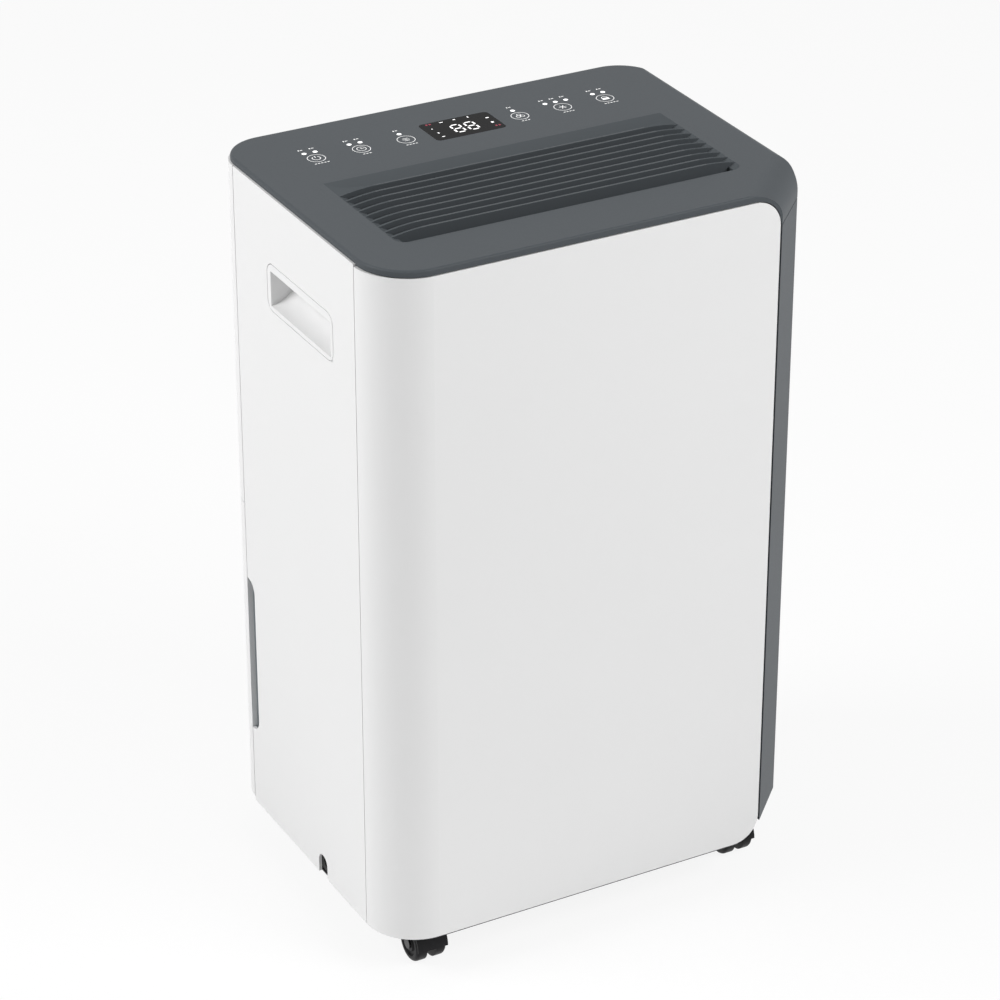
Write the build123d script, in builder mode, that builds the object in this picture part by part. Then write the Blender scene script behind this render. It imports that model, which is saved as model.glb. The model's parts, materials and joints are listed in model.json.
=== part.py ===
# Room dehumidifier on casters, with a top outlet and a water tank at the back.
# Millimetres. Origin on the floor under the middle, +Z up, the front faces -Y.
import os
from build123d import *

# Casters
WHEEL_R = 15.5
WHEEL_T = 9.0
WHEEL_GAP = 4.0
WHEEL_ROUND = 3.0
WHEEL_DISH = 1.5
WHEEL_RIM = 1.5
WHEEL_SLOPE = 1.0
WHEEL_HUB_R = 6.5
HOOD_GAP = 0.7
HOOD_T = 1.3
HOOD_R = WHEEL_R + HOOD_GAP + HOOD_T
CASTER_H = WHEEL_R + HOOD_R
SWIVEL_GAP = 0.5
WEB_HALF = 3.3
WEB_HUB_R = 9.0
TRAIL = 7.0
STEM_R = 4.0
STEM_COLLAR_R = 8.0
SOCKET_R = 8.0
AXLE_R = 2.5
AXLE_HEAD_R = 4.5
AXLE_HEAD_T = 1.0
RUNNING = 0.05

# Casing
WIDTH = 368.0
DEPTH = 277.0
TOP = 601.0
WALL = 2.5
SEAM = 0.8
FIT = 0.3
FRONT_R = 42.0
REAR_R = 33.0
CHAMFER = 36.0
TANK_SEAM_Z = 310.5
BASE_LIP = 1.2
BASE_T = 3.0
SIDE = WIDTH / 2
BACK = DEPTH / 2
FRONT_SEAM_Y = FRONT_R - BACK
REAR_SEAM_Y = BACK - REAR_R
BASE_BOTTOM = CASTER_H + SWIVEL_GAP
BASE_STEP = BASE_BOTTOM + BASE_LIP
BOTTOM = BASE_STEP + FIT
BASE_FLOOR = BOTTOM + BASE_T

# Front panel and the strip to its right
FRONT_BAND = 6.0
STRIP_GAP = 1.5
STRIP_LIFT = 16.0
FRONT_CORNER_R = 22.0
FRONT_TOP = TOP - FRONT_BAND
FRONT_RIGHT = SIDE - CHAMFER - STRIP_GAP
STRIP_BOTTOM = BOTTOM + STRIP_LIFT

# Top cover
COVER_INSET = 1.6
COVER_EDGE_R = 2.0
COVER_RIGHT_R = 6.5
COVER_BAND = 4.5
SKIRT_H = 27.3
SIDE_TOP = TOP - COVER_BAND
SKIRT_Z = TOP - SKIRT_H

# Outlet louvres
BLADES = 9
BLADE_PITCH = 10.4
BLADE_THICK = 2.0
BLADE_DEPTH = 18.0
BLADE_BACK_Y = 6.8
TIP_FROM_SIDE = 40.0
CROWN = 3.0
CROWN_RUN = 31.0
CROWN_SLOPE = 26.0
CROWN_RISE = 0.03
SLOT_RAMP = 6.0
FRONT_SLOT = 12.1
FRONT_SLOT_R = 9.0
OUTLET_BORDER = 6.0
OUTLET_EDGE = 2.0
OUTLET_FIT = 0.03
BLADE_TIP_X = SIDE - TIP_FROM_SIDE
SLOT_END_X = BLADE_TIP_X - SLOT_RAMP
BLADE_BOTTOM = TOP - BLADE_DEPTH
BLADE_FRONT_Y = BLADE_BACK_Y - (BLADES - 1) * BLADE_PITCH - BLADE_THICK / 2
CROWN_BACK_Y = BLADE_BACK_Y + CROWN_SLOPE
SLOT_FRONT_Y = BLADE_FRONT_Y - FRONT_SLOT
OUTLET_X = BLADE_TIP_X + OUTLET_BORDER
OUTLET_FRONT_Y = SLOT_FRONT_Y - OUTLET_EDGE
OUTLET_BACK_Y = CROWN_BACK_Y + OUTLET_EDGE

# Display and control board
DISPLAY_LEFT = 2.0
DISPLAY_FROM_BACK = 57.0
DISPLAY_W = 60.0
DISPLAY_D = 35.0
DISPLAY_R = 4.0
DISPLAY_T = 3.2
DISPLAY_FIT = 0.1
BOARD_W = 270.0
BOARD_D = 36.0
BOARD_T = 1.6
DISPLAY_X = -DISPLAY_LEFT
DISPLAY_Y = BACK - DISPLAY_FROM_BACK

# Handle cups
CUP_DROP = 79.0
CUP_Y = -5.5
CUP_W = 109.5
CUP_H = 38.0
CUP_R = 9.0
CUP_T = 2.5
CUP_GAP = 0.7
POCKET_SHIFT = 1.0
POCKET_W = 100.0
POCKET_BELOW = 15.5
POCKET_ABOVE = 13.0
POCKET_DEPTH = 27.0
POCKET_RISE = 0.15
CUP_Z = TOP - CUP_DROP
POCKET_Y = CUP_Y - POCKET_SHIFT
POCKET_LOW = CUP_Z - POCKET_BELOW
POCKET_HIGH = CUP_Z + POCKET_ABOVE

# Finger notches
NOTCH_W = 12.5
NOTCH_LIFT = 70.0
NOTCH_H = 139.0
NOTCH_R = 11.0
NOTCH_FRONT_Y = REAR_SEAM_Y - NOTCH_W
NOTCH_LOW = BOTTOM + NOTCH_LIFT
NOTCH_HIGH = NOTCH_LOW + NOTCH_H

# Base
BASE_IN_LEFT = 3.5
BASE_IN_RIGHT = 8.0
BASE_IN_FRONT = 1.0
BASE_IN_REAR = 3.0
BASE_CUT = 11.5
RIM_T = 2.2
RIM_H = 14.0
RAIL_X = 120.0
RAIL_W = 8.0
RAIL_H = 20.5
TANK_LIFT = 0.5
BASE_LEFT = BASE_IN_LEFT - SIDE
BASE_RIGHT = SIDE - BASE_IN_RIGHT
BASE_FRONT = BASE_IN_FRONT - BACK
BASE_REAR = BACK - BASE_IN_REAR
BASE_CORNER_R = FRONT_R - BASE_IN_REAR
BASE_CHAMFER = CHAMFER + BASE_CUT
RAIL_TOP = BASE_FLOOR + RAIL_H
TANK_BOTTOM = RAIL_TOP + TANK_LIFT

# Caster places, each with its trail to the front or to the back
SOCKET_DROP = 1.0
SOCKET_CAP = 2.5
CASTER_IN = 42.0
CASTER_CUT_IN = 36.5
CASTER_FRONT_IN = 35.5
CASTER_REAR_IN = 40.5
SOCKET_TOP = RAIL_TOP - SOCKET_DROP
STEM_TOP = SOCKET_TOP - SOCKET_CAP
CASTERS = (
    ("front_left", CASTER_IN - SIDE, CASTER_FRONT_IN - BACK, -1),
    ("front_right", SIDE - CASTER_CUT_IN, CASTER_FRONT_IN - BACK, 1),
    ("rear_left", CASTER_IN - SIDE, BACK - CASTER_REAR_IN, 1),
    ("rear_right", SIDE - CASTER_IN, BACK - CASTER_REAR_IN, 1),
)

# Compressor, with the partition and the cord exit behind it
COMP_FROM_SIDE = 109.0
COMP_FROM_FRONT = 70.5
COMP_R = 54.0
COMP_H = 163.0
COMP_DOME_R = 18.0
COMP_FLANGE = 3.0
COMP_FOOT_H = 8.0
COMP_GAP = 3.0
FOOT_R = 8.0
FEET_R = 46.0
STUB_R = 4.5
STUB_H = 3.0
STUB_SINK = 14.0
STUB_OUT = 32.0
JOG_H = 44.0
ARCH_W = 15.0
ARCH_H = 19.0
GLAND_T = 7.0
GLAND_GAP = 1.0
GLAND_FROM_PARTITION = 12.5
GLAND_BORE_R = 4.0
COMP_X = COMP_FROM_SIDE - SIDE
COMP_Y = COMP_FROM_FRONT - BACK
COMP_FOOT_Z = BASE_FLOOR + COMP_FOOT_H
COMP_TOP = COMP_FOOT_Z + COMP_FLANGE + COMP_H
STUB_TOP = COMP_TOP + STUB_H
DISCHARGE_Y = COMP_Y + STUB_OUT
STUB_X = COMP_X - STUB_OUT
JOG_Z = STUB_TOP + JOG_H
PARTITION_Y = COMP_Y + COMP_R + COMP_FLANGE + COMP_GAP
ARCH_Y = PARTITION_Y - GLAND_FROM_PARTITION
ARCH_TOP = BOTTOM + ARCH_H
GLAND_X0 = WALL + FIT - SIDE
GLAND_X1 = GLAND_X0 + GLAND_T

# Electronics
CAP_GAP = 10.0
CAP_R = 18.0
CAP_H = 84.0
CAP_BEVEL = 2.0
BOX_GAP = 12.0
BOX_FROM_SIDE = 54.0
BOX_FROM_FRONT = 20.5
BOX_D = 88.0
BOX_H = 90.0
BOX_T = 2.0
POST_R = 4.0
POST_H = 4.0
POST_IN = 10.0
POWER_IN = 4.0
PART_W = 16.0
PART_D = 32.0
PART_H = 24.0
PART_IN = 24.0
PART_FRONT = 16.0
SWITCH_X = 110.0
SWITCH_W = 24.0
SWITCH_D = 12.0
SWITCH_H = 15.0
SWITCH_FROM_TANK = 10.0
SWITCH_PIN_R = 4.0
SWITCH_PIN_H = 4.0
CAP_X = COMP_X + COMP_R + COMP_FLANGE + CAP_GAP + CAP_R
BOX_X0 = CAP_X + CAP_R + BOX_GAP
BOX_X1 = SIDE - BOX_FROM_SIDE
BOX_W = BOX_X1 - BOX_X0
BOX_Y0 = BOX_FROM_FRONT - BACK
BOX_Y1 = BOX_Y0 + BOX_D
BOX_TOP = BASE_FLOOR + BOX_H

# Middle frame and drip tray
FRAME_T = 3.0
FRAME_ABOVE_SEAM = 4.5
TAB_W = 12.0
TAB_H = 15.0
SCREW_LIFT = 7.0
SCREW_R = 1.7
SCREW_HEAD_R = 3.8
SCREW_L = 9.0
SCREW_INNER_X = 50.0
SCREW_FROM_SIDE = 44.0
TRAY_BORDER = 12.0
TRAY_FRONT_LIP = 6.0
TRAY_BACK_LIP = 10.0
TRAY_H = 20.0
TRAY_T = 2.0
RIB_X = 55.0
RIB_H = 13.0
SPOUT_R = 7.0
SPOUT_BORE_R = 5.0
SPOUT_DROP = 6.0
DRAIN_X = -95.0
DRAIN_LIFT = 11.0
DRAIN_R = 6.0
DRAIN_BORE_R = 4.0
DRAIN_IN = 1.5
DRAIN_POCKET_R = 14.0
FRAME_Z = TANK_SEAM_Z + FRAME_ABOVE_SEAM
FRAME_TOP = FRAME_Z + FRAME_T
SCREW_Z = FRAME_TOP + SCREW_LIFT
SCREW_XS = (SCREW_FROM_SIDE - SIDE, -SCREW_INNER_X, SCREW_INNER_X, SIDE - SCREW_FROM_SIDE)
TRAY_TOP = FRAME_TOP + TRAY_H
SPOUT_BOTTOM = FRAME_Z - SPOUT_DROP
DRAIN_Z = FRAME_TOP + DRAIN_LIFT
DRAIN_END_Y = BACK - DRAIN_IN

# Coils and refrigerant pipes
COIL_FROM_SIDE = 74.0
COIL_H = 198.0
COIL_DEPTH = 20.0
COIL_SPACING = 42.0
COIL_FROM_BACK = 34.5
COIL_SPOUT = 20.0
FIN_PITCH = 5.0
FIN_GAP = 3.4
FIN_CUT = 5.5
TUBE_R = 3.5
TUBE_OUT = 6.0
TUBE_PITCH = 44.0
TUBE_LOW = 22.0
PASSES = 4
PIPE_BEND_R = 9.0
SUCTION_OUT = 14.0
DISCHARGE_OUT = 26.0
DRIER_L = 34.0
DRIER_R = 7.0
DRIER_TAPER = 3.5
CAPILLARY_R = 1.5
CAPILLARY_BEND_R = 4.5
COIL_X = SIDE - COIL_FROM_SIDE
COIL_BOTTOM = FRAME_TOP + RIB_H
COIL_TOP = COIL_BOTTOM + COIL_H
TUBE_END_X = COIL_X + TUBE_OUT
EVAPORATOR_Y = BACK - COIL_FROM_BACK
CONDENSER_Y = EVAPORATOR_Y - COIL_SPACING
CONDENSER_Z = COIL_BOTTOM + TUBE_LOW
EVAPORATOR_Z = CONDENSER_Z + TUBE_PITCH / 2
SUCTION_X = -TUBE_END_X - SUCTION_OUT
DISCHARGE_X = -TUBE_END_X - DISCHARGE_OUT
DRIER_END_X = -TUBE_END_X - DRIER_L
SPOUT_Y = EVAPORATOR_Y - COIL_SPOUT
TRAY_X = COIL_X + TRAY_BORDER
TRAY_FRONT_Y = CONDENSER_Y - COIL_DEPTH / 2 - TRAY_FRONT_LIP
TRAY_BACK_Y = EVAPORATOR_Y + COIL_DEPTH / 2 + TRAY_BACK_LIP

# Fan
SCROLL_LIFT = 21.0
DUCT_H = 48.0
SCROLL_FRONT_Y = -72.0
SCROLL_BACK_Y = 20.0
SCROLL_FOOT_X = 49.0
SCROLL_FOOT_T = 5.0
IMPELLER_GAP = 24.0
IMPELLER_BLADES = 20
IMPELLER_BAND = 16.0
IMPELLER_FRONT_GAP = 7.5
IMPELLER_BACK_GAP = 12.5
IMPELLER_T = 2.5
BLADE_ANGLE = 35.0
BLADE_SINK = 1.0
HUB_R = 12.0
HUB_L = 36.0
INLET_LIP = 5.0
INLET_COLLAR = 7.5
SHAFT_R = 4.0
SHAFT_HOLE_R = 16.0
MOTOR_R = 42.0
MOTOR_L = 44.0
MOTOR_BEVEL = 5.0
MOTOR_WALL = 10.0
SHAFT_END = 2.5
SHAFT_BACK_GAP = 12.5
SCROLL_R = (BLADE_BOTTOM - FRAME_TOP - SCROLL_LIFT - DUCT_H) / 2
FAN_Z = FRAME_TOP + SCROLL_LIFT + SCROLL_R
SCROLL_TOP = BLADE_BOTTOM - FIT
IMPELLER_R = SCROLL_R - IMPELLER_GAP
INLET_R = IMPELLER_R - IMPELLER_BAND
MOTOR_FRONT_Y = SCROLL_FRONT_Y - MOTOR_L

# Water tank
TANK_WRAP = 4.6
TANK_GAP = 0.2
TANK_T = 2.5
TANK_FRONT_GAP = 7.0
TANK_HEADROOM = 63.5
TANK_FACE_LIFT = 0.4
LID_T = 3.0
LID_MOUTH_W = 70.0
LID_MOUTH_D = 49.0
GRIP_DEPTH = 18.0
GRIP_BACK = 7.0
HANDLE_FROM_SIDE = 38.0
HANDLE_FROM_BACK = 78.5
HANDLE_LIFT = 9.0
HANDLE_REACH = 45.0
HANDLE_R = 3.5
HANDLE_BEND_R = 14.0
HANDLE_BOSS_R = 4.5
HANDLE_BOSS_L = 6.0
PIN_R = 3.0
LUG = 6.0
FLOAT_X = 60.0
FLOAT_FROM_FRONT = 28.0
FLOAT_DROP = 10.0
FLOAT_PIN_R = 2.0
FLOAT_LUG_X = 6.0
FLOAT_LUG_T = 4.0
FLOAT_ARM = 8.0
FLOAT_W = 32.0
FLOAT_D = 40.0
FLOAT_H = 24.0
FLOAT_HANG = 8.0
TANK_INSET = TANK_WRAP + TANK_GAP
TANK_FRONT_Y = PARTITION_Y + FRAME_T + TANK_FRONT_GAP
TANK_TOP = TANK_SEAM_Z - TANK_HEADROOM
TANK_FACE_LOW = BASE_FLOOR + TANK_FACE_LIFT
LID_TOP = TANK_TOP + LID_T
GRIP_Y = NOTCH_FRONT_Y - GRIP_BACK
HANDLE_X = SIDE - HANDLE_FROM_SIDE
HANDLE_Y = BACK - HANDLE_FROM_BACK
HANDLE_Z = LID_TOP + HANDLE_LIFT
FLOAT_Y = TANK_FRONT_Y + FLOAT_FROM_FRONT
FLOAT_Z = TANK_TOP - FLOAT_DROP

# Rear inlet
INTAKE_FROM_SIDE = 44.0
INTAKE_LIFT = 38.5
INTAKE_DROP = 22.0
INTAKE_T = 4.5
INTAKE_BORDER = 10.0
FILTER_T = 4.0
FILTER_IN = 3.5
FILTER_BORDER = 3.5
FILTER_RIB = 2.0
FILTER_NET = 0.6
FILTER_COLUMNS = 6
FILTER_ROWS = 5
SLAT_PITCH = 10.0
SLAT_T = 3.5
SLAT_IN = 1.0
MULLION_IN = 2.0
INTAKE_X = SIDE - INTAKE_FROM_SIDE
INTAKE_LOW = TANK_SEAM_Z + INTAKE_LIFT
INTAKE_HIGH = TOP - INTAKE_DROP
INTAKE_Y = BACK - INTAKE_T
FILTER_Y = INTAKE_Y - FILTER_T


def block(x0, x1, y0, y1, z0, z1, mode=Mode.ADD):
    """A box given by its limits."""
    with Locations(((x0 + x1) / 2, (y0 + y1) / 2, (z0 + z1) / 2)):
        Box(x1 - x0, y1 - y0, z1 - z0, mode=mode)


def bar(start, direction, radius, length, mode=Mode.ADD):
    """A round bar from a start point along a direction."""
    with Locations(Plane(start, z_dir=direction)):
        Cylinder(radius, length, align=(Align.CENTER, Align.CENTER, Align.MIN), mode=mode)


def casing_plan(z, inset=0.0, left=-SIDE):
    """Plan of the casing: three round corners and a chamfer at the front right."""
    with BuildSketch(Plane.XY.offset(z)) as plan:
        with Locations(((left + SIDE) / 2, 0)):
            Rectangle(SIDE - left, DEPTH)
        fillet(plan.vertices().group_by(Axis.Y)[-1], REAR_R)
        fillet(plan.vertices().group_by(Axis.Y)[0].sort_by(Axis.X)[0], FRONT_R)
        chamfer(plan.vertices().group_by(Axis.Y)[0].sort_by(Axis.X)[-1], CHAMFER)
        if inset:
            offset(amount=-inset)
    return plan.sketch


def casing_wall(z0, z1, thickness=WALL):
    """Upright wall that follows the plan of the casing."""
    extrude(casing_plan(z0), amount=z1 - z0)
    extrude(casing_plan(z0, thickness), amount=z1 - z0, mode=Mode.SUBTRACT)


def front_outline(grow=0.0):
    """Front view of the white panel, with its two right corners rounded."""
    with BuildSketch(Plane.XZ.offset(BACK)) as view:
        with Locations(((FRONT_RIGHT - SIDE) / 2, (FRONT_TOP + BOTTOM) / 2)):
            Rectangle(SIDE + FRONT_RIGHT, FRONT_TOP - BOTTOM)
        fillet(view.vertices().group_by(Axis.X)[-1], FRONT_CORNER_R)
        if grow:
            offset(amount=grow)
    return view.sketch


def side_openings(x):
    """Openings of a side panel for the handle cup and the finger notch."""
    with BuildSketch(Plane.YZ.offset(x)) as openings:
        with Locations((CUP_Y, CUP_Z)):
            RectangleRounded(CUP_W + 2 * CUP_GAP, CUP_H + 2 * CUP_GAP, CUP_R + CUP_GAP)
        with Locations((REAR_SEAM_Y, (NOTCH_LOW + NOTCH_HIGH) / 2)):
            RectangleRounded(2 * (REAR_SEAM_Y - NOTCH_FRONT_Y), NOTCH_HIGH - NOTCH_LOW, NOTCH_R)
    extrude(openings.sketch, amount=WALL, mode=Mode.SUBTRACT)


def pipe(points, radius, bend):
    """A round pipe along straight runs with equal bends."""
    with BuildLine() as run:
        FilletPolyline(*points, radius=bend)
    with BuildSketch(Plane(points[0], z_dir=Vector(*points[1]) - Vector(*points[0]))) as section:
        Circle(radius)
    sweep(section.sketch, path=run.line)


# Casing panels
with BuildPart() as front_panel:
    casing_wall(BOTTOM, FRONT_TOP)
    extrude(front_outline(), amount=-(FRONT_R - SEAM / 2), mode=Mode.INTERSECT)

with BuildPart() as left_side_panel:
    casing_wall(BOTTOM, SIDE_TOP)
    block(-SIDE, 0, FRONT_SEAM_Y + SEAM / 2, REAR_SEAM_Y - SEAM / 2, BOTTOM, SIDE_TOP, Mode.INTERSECT)
    side_openings(-SIDE)
    with BuildSketch(Plane.YZ.offset(-SIDE)):
        with Locations((ARCH_Y, ARCH_TOP - ARCH_W / 2)):
            Circle(ARCH_W / 2)
            Rectangle(ARCH_W, ARCH_TOP - BOTTOM, align=(Align.CENTER, Align.MAX))
    extrude(amount=WALL, mode=Mode.SUBTRACT)

with BuildPart() as right_side_panel:
    casing_wall(STRIP_BOTTOM, SKIRT_Z - SEAM)
    block(SIDE - CHAMFER, SIDE, -BACK, REAR_SEAM_Y - SEAM / 2, STRIP_BOTTOM, SKIRT_Z, Mode.INTERSECT)
    side_openings(SIDE - WALL)

with BuildPart() as rear_cover:
    casing_wall(TANK_SEAM_Z + SEAM / 2, SIDE_TOP)
    block(-SIDE, SIDE, REAR_SEAM_Y + SEAM / 2, BACK, TANK_SEAM_Z, SIDE_TOP, Mode.INTERSECT)
    block(-INTAKE_X, INTAKE_X, REAR_SEAM_Y, BACK, INTAKE_LOW, INTAKE_HIGH, Mode.SUBTRACT)
    bar((DRAIN_X, BACK - WALL, DRAIN_Z), (0, 1, 0), DRAIN_POCKET_R, WALL, Mode.SUBTRACT)
    for x in SCREW_XS:
        bar((x, BACK - WALL, SCREW_Z), (0, 1, 0), SCREW_HEAD_R + FIT, WALL, Mode.SUBTRACT)


def round_off(corner, outward, radius, inset):
    """Rounds a straight top edge that faces outward."""
    outward = Vector(*outward)
    with BuildSketch(Plane(corner, x_dir=outward, z_dir=outward.cross(Vector(0, 0, 1)))) as spandrel:
        with Locations((-radius, -radius)):
            Rectangle(2 * radius, 2 * radius, align=(Align.MIN, Align.MIN))
            Circle(radius - inset, mode=Mode.SUBTRACT)
    extrude(spandrel.sketch, amount=DEPTH, both=True, mode=Mode.SUBTRACT)


def cover_block(inset):
    """Block of the top cover with its rounded top edges."""
    with BuildPart() as solid:
        extrude(casing_plan(SKIRT_Z, inset, COVER_INSET - SIDE), amount=TOP - inset - SKIRT_Z)
        if not inset:
            fillet(solid.faces().sort_by(Axis.Z)[-1].edges(), COVER_EDGE_R)
        round_off((SIDE - CHAMFER, -BACK, TOP), (1, -1, 0), FRONT_CORNER_R, inset)
        round_off((SIDE, 0, TOP), (1, 0, 0), COVER_RIGHT_R, inset)
    return solid.part


with BuildPart() as top_cover:
    add(cover_block(0))
    add(cover_block(WALL), mode=Mode.SUBTRACT)
    extrude(front_outline(SEAM), amount=-(FRONT_R - SEAM / 2), mode=Mode.SUBTRACT)
    block(-SIDE, FRONT_RIGHT + SEAM, FRONT_SEAM_Y - SEAM, BACK, SKIRT_Z, SIDE_TOP + FIT, Mode.SUBTRACT)
    block(-SIDE, SIDE, REAR_SEAM_Y - SEAM / 2, BACK, SKIRT_Z, SIDE_TOP + FIT, Mode.SUBTRACT)
    block(-OUTLET_X, OUTLET_X, OUTLET_FRONT_Y, OUTLET_BACK_Y, TOP - WALL, TOP, Mode.SUBTRACT)
    with BuildSketch(Plane.XY.offset(TOP)):
        with Locations((DISPLAY_X, DISPLAY_Y)):
            RectangleRounded(DISPLAY_W, DISPLAY_D, DISPLAY_R)
    extrude(amount=-WALL, mode=Mode.SUBTRACT)

# Outlet louvres: a crowned plate with ramped slot ends and deep blades
with BuildPart() as outlet_grille:
    with BuildSketch(Plane.XZ.offset(-CROWN_BACK_Y)):
        with BuildLine():
            crest = BLADE_TIP_X - CROWN_RUN
            flat = Line((-crest, TOP + CROWN), (crest, TOP + CROWN))
            right = TangentArc(flat @ 1, (BLADE_TIP_X, TOP), tangent=(1, 0))
            left = TangentArc(flat @ 0, (-BLADE_TIP_X, TOP), tangent=(-1, 0))
            Polyline(left @ 1, (-BLADE_TIP_X, TOP - WALL), (BLADE_TIP_X, TOP - WALL), right @ 1)
        make_face()
    extrude(amount=CROWN_BACK_Y - OUTLET_FRONT_Y)
    with BuildSketch(Plane.YZ.offset(-BLADE_TIP_X)):
        with BuildLine():
            crest_y = BLADE_BACK_Y + BLADE_THICK / 2
            level = Line((BLADE_FRONT_Y, TOP + CROWN), (crest_y, TOP + CROWN))
            slope = TangentArc((CROWN_BACK_Y, TOP), level @ 1, tangent=(-1, CROWN_RISE))
            Polyline(slope @ 0, (CROWN_BACK_Y, TOP - WALL), (BLADE_FRONT_Y, TOP - WALL), level @ 0)
        make_face()
    extrude(amount=2 * BLADE_TIP_X, mode=Mode.INTERSECT)
    block(-OUTLET_X + OUTLET_FIT, OUTLET_X - OUTLET_FIT, OUTLET_FRONT_Y + OUTLET_FIT,
          OUTLET_BACK_Y - OUTLET_FIT, TOP - WALL, TOP)
    for i in range(BLADES):
        y = BLADE_BACK_Y - i * BLADE_PITCH - BLADE_THICK / 2
        width = FRONT_SLOT if i == BLADES - 1 else BLADE_PITCH - BLADE_THICK
        with BuildPart(mode=Mode.SUBTRACT):
            with BuildSketch(Plane.XZ.offset(-y)):
                with BuildLine():
                    Polyline((-BLADE_TIP_X, TOP + 2 * CROWN), (-BLADE_TIP_X, TOP),
                             (-SLOT_END_X, TOP - WALL), (SLOT_END_X, TOP - WALL),
                             (BLADE_TIP_X, TOP), (BLADE_TIP_X, TOP + 2 * CROWN), close=True)
                make_face()
            extrude(amount=width)
            if i == BLADES - 1:
                with BuildSketch(Plane.XY.offset(TOP - WALL)):
                    with Locations((0, y)):
                        RectangleRounded(2 * BLADE_TIP_X, 2 * FRONT_SLOT, FRONT_SLOT_R)
                extrude(amount=WALL + 2 * CROWN, mode=Mode.INTERSECT)
    for i in range(BLADES):
        y = BLADE_BACK_Y - i * BLADE_PITCH
        block(-SLOT_END_X, SLOT_END_X, y - BLADE_THICK / 2, y + BLADE_THICK / 2, BLADE_BOTTOM, TOP - WALL)
    for sign in (-1, 1):
        wall_x = sign * (SLOT_END_X + BLADE_THICK / 2)
        block(wall_x - BLADE_THICK / 2, wall_x + BLADE_THICK / 2, OUTLET_FRONT_Y + SEAM,
              BLADE_BACK_Y + BLADE_THICK / 2, BLADE_BOTTOM, TOP - WALL)

with BuildPart() as display_window:
    with BuildSketch(Plane.XY.offset(TOP - DISPLAY_T)):
        with Locations((DISPLAY_X, DISPLAY_Y)):
            RectangleRounded(DISPLAY_W - 2 * DISPLAY_FIT, DISPLAY_D - 2 * DISPLAY_FIT, DISPLAY_R)
    extrude(amount=DISPLAY_T)

with BuildPart() as control_board:
    with Locations((DISPLAY_X, DISPLAY_Y, TOP - DISPLAY_T - BOARD_T / 2)):
        Box(BOARD_W, BOARD_D, BOARD_T)


def pocket_block(grow, mode):
    """Finger pocket of a handle cup: a floor that curves in and up to a flat roof."""
    with BuildSketch(Plane.XZ.offset(-POCKET_Y - POCKET_W / 2 - grow)) as view:
        with BuildLine():
            mouth = Line((-SIDE, POCKET_HIGH), (-SIDE, POCKET_LOW))
            floor = TangentArc(mouth @ 1, (POCKET_DEPTH - SIDE, POCKET_HIGH), tangent=(1, POCKET_RISE))
            Line(floor @ 1, mouth @ 0)
        make_face()
        if grow:
            offset(amount=grow, kind=Kind.INTERSECTION)
    extrude(view.sketch, amount=POCKET_W + 2 * grow, mode=mode)


# Handle cups: a rim plate with a thin-walled pocket behind it
with BuildPart() as left_handle_cup:
    pocket_block(CUP_T, Mode.ADD)
    block(-SIDE, SIDE, -BACK, BACK, 0, TOP, Mode.INTERSECT)
    with BuildSketch(Plane.YZ.offset(-SIDE)):
        with Locations((CUP_Y, CUP_Z)):
            RectangleRounded(CUP_W, CUP_H, CUP_R)
    extrude(amount=CUP_T)
    pocket_block(0, Mode.SUBTRACT)

with BuildPart() as right_handle_cup:
    mirror(left_handle_cup.part, about=Plane.YZ)


def base_plan(z, inset):
    """Plan of the base, cut back at the front right."""
    with BuildSketch(Plane.XY.offset(z)) as plan:
        with Locations(((BASE_LEFT + BASE_RIGHT) / 2, (BASE_FRONT + BASE_REAR) / 2)):
            Rectangle(BASE_RIGHT - BASE_LEFT, BASE_REAR - BASE_FRONT)
        fillet(plan.vertices().group_by(Axis.Y)[-1], REAR_R)
        fillet(plan.vertices().group_by(Axis.Y)[0].sort_by(Axis.X)[0], BASE_CORNER_R)
        chamfer(plan.vertices().group_by(Axis.Y)[0].sort_by(Axis.X)[-1], BASE_CHAMFER)
        if inset:
            offset(amount=-inset)
    return plan.sketch


with BuildPart() as base_pan:
    extrude(base_plan(BASE_STEP, RIM_T), amount=RIM_H + BASE_FLOOR - BASE_STEP)
    extrude(base_plan(BASE_FLOOR, 2 * RIM_T), amount=RIM_H, mode=Mode.SUBTRACT)
    block(-SIDE, SIDE, PARTITION_Y - SEAM, BACK, BASE_FLOOR, BASE_FLOOR + RIM_H, Mode.SUBTRACT)
    block(-SIDE, GLAND_X1 + FIT, ARCH_Y - ARCH_W / 2 - GLAND_GAP, PARTITION_Y, BASE_FLOOR,
          BASE_FLOOR + RIM_H, Mode.SUBTRACT)
    extrude(base_plan(BASE_BOTTOM, 0), amount=BASE_STEP - BASE_BOTTOM)
    for sign in (-1, 1):
        block(sign * RAIL_X - RAIL_W / 2, sign * RAIL_X + RAIL_W / 2, TANK_FRONT_Y, BASE_REAR - REAR_R,
              BASE_FLOOR, RAIL_TOP)
    for name, x, y, turn in CASTERS:
        bar((x, y, BASE_BOTTOM), (0, 0, 1), SOCKET_R, SOCKET_TOP - BASE_BOTTOM)
        bar((x, y, BASE_BOTTOM), (0, 0, 1), STEM_R + RUNNING, STEM_TOP + SEAM - BASE_BOTTOM, Mode.SUBTRACT)


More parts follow.
